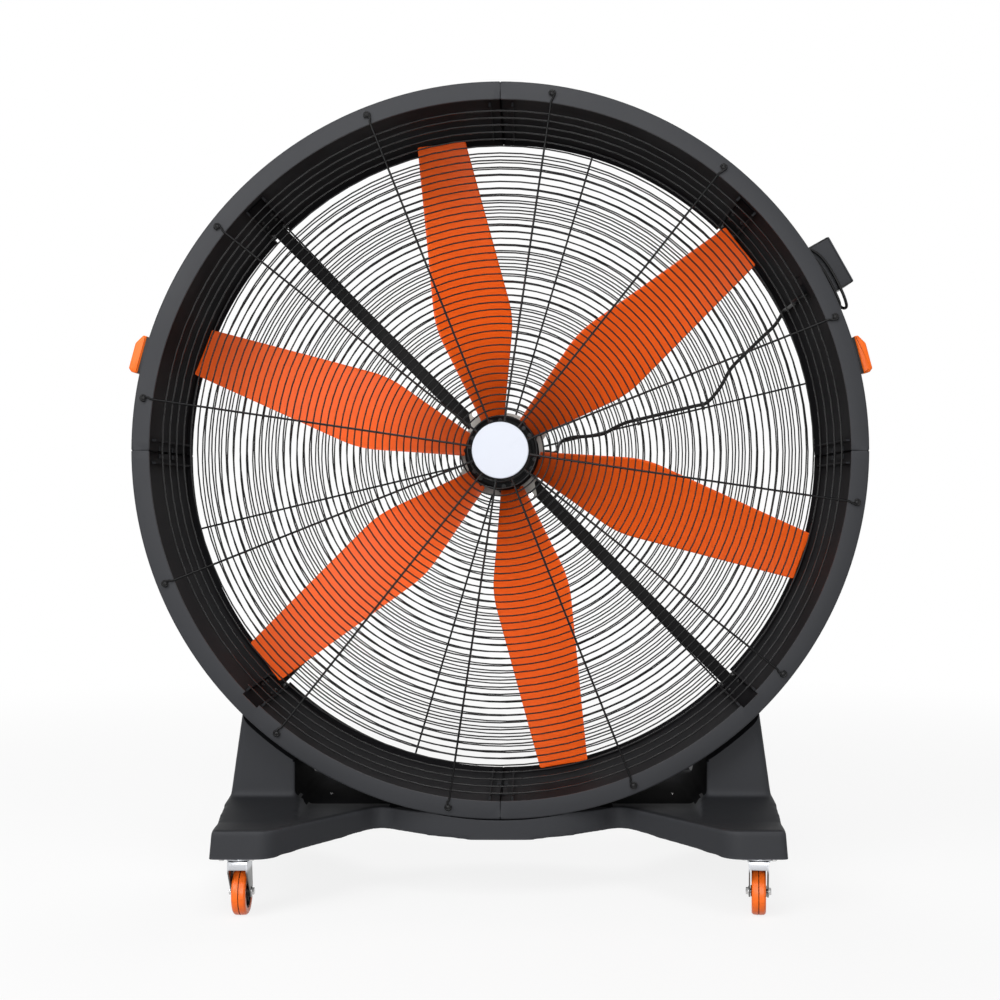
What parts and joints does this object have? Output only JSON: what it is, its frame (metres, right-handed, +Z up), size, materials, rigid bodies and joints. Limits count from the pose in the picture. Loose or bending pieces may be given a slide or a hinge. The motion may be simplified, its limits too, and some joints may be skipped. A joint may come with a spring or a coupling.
{
  "type": "drum fan",
  "caption": "Large mobile drum fan: wire-guarded axial impeller in a moulded barrel on a swivel-caster base.",
  "frame": {"origin": "on the floor, under the middle of the drum", "axes": "+Z up; +X to the right of someone who faces the blowing side; +Y from the blowing side to the intake side, parallel to the fan axis"},
  "size_m": [1.696, 0.83, 1.854],
  "materials": {
    "shell_plastic": "fine grained moulded plastic, dark grey",
    "black_plastic": "satin black moulded plastic",
    "orange_blade": "smooth orange moulded plastic",
    "orange_grip": "satin orange moulded plastic",
    "guard_wire": "black powder coated wire",
    "black_steel": "black powder coated tube",
    "hub_metal": "black painted casting",
    "badge_white": "white plastic disc",
    "motor_grey": "grey cast housing",
    "bright_steel": "ground steel",
    "core_steel": "laminated steel with winding",
    "cable_black": "black rubber sheath",
    "zinc": "zinc plated pressed steel",
    "orange_tyre": "orange polyurethane tread",
    "wheel_core": "black moulded wheel centre"
  },
  "bodies": {
    "root": {"drum_quarter_upper_right": "shell_plastic", "drum_quarter_upper_left": "shell_plastic", "drum_quarter_lower_left": "shell_plastic", "drum_quarter_lower_right": "shell_plastic", "base": "shell_plastic", "control_box": "shell_plastic", "control_box_lid": "shell_plastic", "handle_bracket_right": "black_plastic", "handle_bracket_left": "black_plastic", "lead_tie_1": "black_plastic", "lead_tie_2": "black_plastic", "handle_grip_right": "orange_grip", "handle_grip_left": "orange_grip", "front_guard_spiral": "guard_wire", "front_guard_spokes": "guard_wire", "rear_guard_spiral": "guard_wire", "rear_guard_spokes": "guard_wire", "motor_strut_through": "black_steel", "motor_strut_upper": "black_steel", "motor_strut_lower": "black_steel", "motor_mount_plate": "black_steel", "badge_disc": "badge_white", "motor_housing": "motor_grey", "motor_end_shield": "motor_grey", "bearing_front": "bright_steel", "bearing_rear": "bright_steel", "stator_core": "core_steel", "motor_lead": "cable_black", "box_cable_a": "cable_black", "box_cable_b": "cable_black", "caster_plate_front_left": "zinc", "caster_plate_front_right": "zinc", "caster_plate_rear_left": "zinc", "caster_plate_rear_right": "zinc"},
    "impeller": {"hub": "hub_metal", "hub_cap": "black_plastic", "blade_1": "orange_blade", "blade_2": "orange_blade", "blade_3": "orange_blade", "blade_4": "orange_blade", "blade_5": "orange_blade", "blade_6": "orange_blade", "motor_shaft": "bright_steel", "rotor_core": "core_steel"},
    "speed_knob": {"speed_knob": "black_plastic"},
    "power_switch": {"power_switch": "black_plastic"},
    "caster_fork_front_left": {"caster_fork_front_left": "zinc"},
    "caster_wheel_front_left": {"caster_tyre_front_left": "orange_tyre", "caster_core_front_left": "wheel_core"},
    "caster_fork_front_right": {"caster_fork_front_right": "zinc"},
    "caster_wheel_front_right": {"caster_tyre_front_right": "orange_tyre", "caster_core_front_right": "wheel_core"},
    "caster_fork_rear_left": {"caster_fork_rear_left": "zinc"},
    "caster_wheel_rear_left": {"caster_tyre_rear_left": "orange_tyre", "caster_core_rear_left": "wheel_core"},
    "caster_fork_rear_right": {"caster_fork_rear_right": "zinc"},
    "caster_wheel_rear_right": {"caster_tyre_rear_right": "orange_tyre", "caster_core_rear_right": "wheel_core"}
  },
  "joints": [
    {"name": "impeller_spin", "type": "hinge", "parent": "root", "child": "impeller", "pos_m": [0, 0.065, 1.021], "axis": [0, 1, 0], "continuous": true},
    {"name": "speed_knob_turn", "type": "hinge", "parent": "root", "child": "speed_knob", "pos_m": [0.75739, 0.005, 1.41964], "axis": [0, 1, 0], "range_deg": [0, 270]},
    {"name": "power_switch_rock", "type": "hinge", "parent": "root", "child": "power_switch", "pos_m": [0.73179, -0.006, 1.4649], "axis": [-0.4924, 0, 0.8704], "range_deg": [-14, 0]},
    {"name": "caster_swivel_front_left", "type": "hinge", "parent": "root", "child": "caster_fork_front_left", "pos_m": [-0.565, -0.34, 0.12], "axis": [0, 0, 1], "continuous": true},
    {"name": "caster_roll_front_left", "type": "hinge", "parent": "caster_fork_front_left", "child": "caster_wheel_front_left", "pos_m": [-0.565, -0.312, 0.0508], "axis": [1, 0, 0], "continuous": true},
    {"name": "caster_swivel_front_right", "type": "hinge", "parent": "root", "child": "caster_fork_front_right", "pos_m": [0.565, -0.34, 0.12], "axis": [0, 0, 1], "continuous": true},
    {"name": "caster_roll_front_right", "type": "hinge", "parent": "caster_fork_front_right", "child": "caster_wheel_front_right", "pos_m": [0.5689, -0.31227, 0.0508], "axis": [0.9903, -0.1392, 0], "continuous": true},
    {"name": "caster_swivel_rear_left", "type": "hinge", "parent": "root", "child": "caster_fork_rear_left", "pos_m": [-0.565, 0.34, 0.12], "axis": [0, 0, 1], "continuous": true},
    {"name": "caster_roll_rear_left", "type": "hinge", "parent": "caster_fork_rear_left", "child": "caster_wheel_rear_left", "pos_m": [-0.565, 0.312, 0.0508], "axis": [-1, 0, 0], "continuous": true},
    {"name": "caster_swivel_rear_right", "type": "hinge", "parent": "root", "child": "caster_fork_rear_right", "pos_m": [0.565, 0.34, 0.12], "axis": [0, 0, 1], "continuous": true},
    {"name": "caster_roll_rear_right", "type": "hinge", "parent": "caster_fork_rear_right", "child": "caster_wheel_rear_right", "pos_m": [0.565, 0.312, 0.0508], "axis": [-1, 0, 0], "continuous": true}
  ]
}
